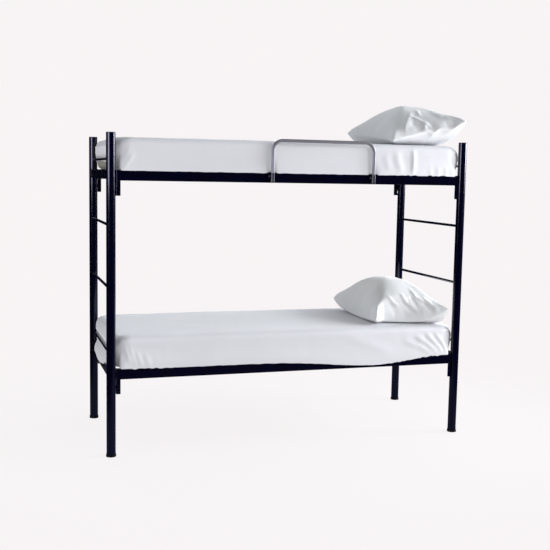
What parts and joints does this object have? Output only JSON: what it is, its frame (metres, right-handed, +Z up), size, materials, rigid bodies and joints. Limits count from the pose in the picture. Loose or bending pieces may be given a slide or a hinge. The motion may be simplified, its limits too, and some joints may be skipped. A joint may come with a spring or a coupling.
{
  "type": "bunk bed",
  "caption": "Steel bunk bed with round posts, ladder-rung ends, hook-on side rails, a lift-out guard rail, and a mattress, fitted sheet and pillow on each bunk.",
  "frame": {"origin": "on the floor, midway between the four posts", "axes": "+X towards the head end, where the pillows lie; -Y towards the front, where the guard rail stands; +Z up"},
  "size_m": [2.0839, 0.8656, 1.9168],
  "materials": {
    "frame_paint": "glossy navy-black powder coat on steel tube",
    "cap_plastic": "moulded black plastic, satin",
    "foot_plastic": "moulded black plastic, scuffed matt",
    "guard_paint": "mid-grey satin paint on steel tube",
    "zinc_steel": "bright zinc-plated steel",
    "mattress_ticking": "woven cotton ticking over foam",
    "sheet_cotton": "plain-woven cotton, lightly creased",
    "pillow_cotton": "white cotton sateen with a soft sheen"
  },
  "bodies": {
    "bed_frame": {"front_left_post": "frame_paint", "front_left_cap": "cap_plastic", "front_left_foot": "foot_plastic", "rear_left_post": "frame_paint", "rear_left_cap": "cap_plastic", "rear_left_foot": "foot_plastic", "left_rung_1": "frame_paint", "left_rung_2": "frame_paint", "left_rung_3": "frame_paint", "left_rung_4": "frame_paint", "front_right_post": "frame_paint", "front_right_cap": "cap_plastic", "front_right_foot": "foot_plastic", "rear_right_post": "frame_paint", "rear_right_cap": "cap_plastic", "rear_right_foot": "foot_plastic", "right_rung_1": "frame_paint", "right_rung_2": "frame_paint", "right_rung_3": "frame_paint", "right_rung_4": "frame_paint", "lower_left_end_rail": "frame_paint", "lower_right_end_rail": "frame_paint", "lower_front_rail": "frame_paint", "lower_front_left_bracket": "frame_paint", "lower_front_right_bracket": "frame_paint", "lower_rear_rail": "frame_paint", "lower_rear_left_bracket": "frame_paint", "lower_rear_right_bracket": "frame_paint", "lower_slats": "frame_paint", "lower_hook_studs": "zinc_steel", "upper_left_end_rail": "frame_paint", "upper_right_end_rail": "frame_paint", "upper_front_rail": "frame_paint", "upper_front_left_bracket": "frame_paint", "upper_front_right_bracket": "frame_paint", "upper_rear_rail": "frame_paint", "upper_rear_left_bracket": "frame_paint", "upper_rear_right_bracket": "frame_paint", "upper_slats": "frame_paint", "upper_hook_studs": "zinc_steel", "left_guard_socket": "zinc_steel", "right_guard_socket": "zinc_steel"},
    "guard": {"guard_rail": "guard_paint"},
    "left_clamp": {"left_clamp_screw": "zinc_steel"},
    "right_clamp": {"right_clamp_screw": "zinc_steel"},
    "upper_bedding": {"upper_mattress": "mattress_ticking", "upper_sheet": "sheet_cotton"},
    "lower_bedding": {"lower_mattress": "mattress_ticking", "lower_sheet": "sheet_cotton"},
    "upper_head_pillow": {"upper_pillow": "pillow_cotton"},
    "lower_head_pillow": {"lower_pillow": "pillow_cotton"}
  },
  "joints": [
    {"name": "guard_lift", "type": "slide", "parent": "bed_frame", "child": "guard", "axis": [0, 0, 1], "range_m": [0, 0.1]},
    {"name": "left_clamp_turn", "type": "hinge", "parent": "bed_frame", "child": "left_clamp", "pos_m": [-0.144, -0.42685, 1.49], "axis": [-1, 0, 0], "range_deg": [0, 360]},
    {"name": "right_clamp_turn", "type": "hinge", "parent": "bed_frame", "child": "right_clamp", "pos_m": [0.444, -0.42685, 1.49], "axis": [-1, 0, 0], "range_deg": [0, 360]},
    {"name": "upper_mattress_lift", "type": "slide", "parent": "bed_frame", "child": "upper_bedding", "axis": [0, 0, 1], "range_m": [0, 0.25]},
    {"name": "lower_mattress_lift", "type": "slide", "parent": "bed_frame", "child": "lower_bedding", "axis": [0, 0, 1], "range_m": [0, 0.2]},
    {"name": "upper_pillow_lift", "type": "slide", "parent": "upper_bedding", "child": "upper_head_pillow", "axis": [0, 0, 1], "range_m": [0, 0.3]},
    {"name": "lower_pillow_lift", "type": "slide", "parent": "lower_bedding", "child": "lower_head_pillow", "axis": [0, 0, 1], "range_m": [0, 0.3]}
  ]
}
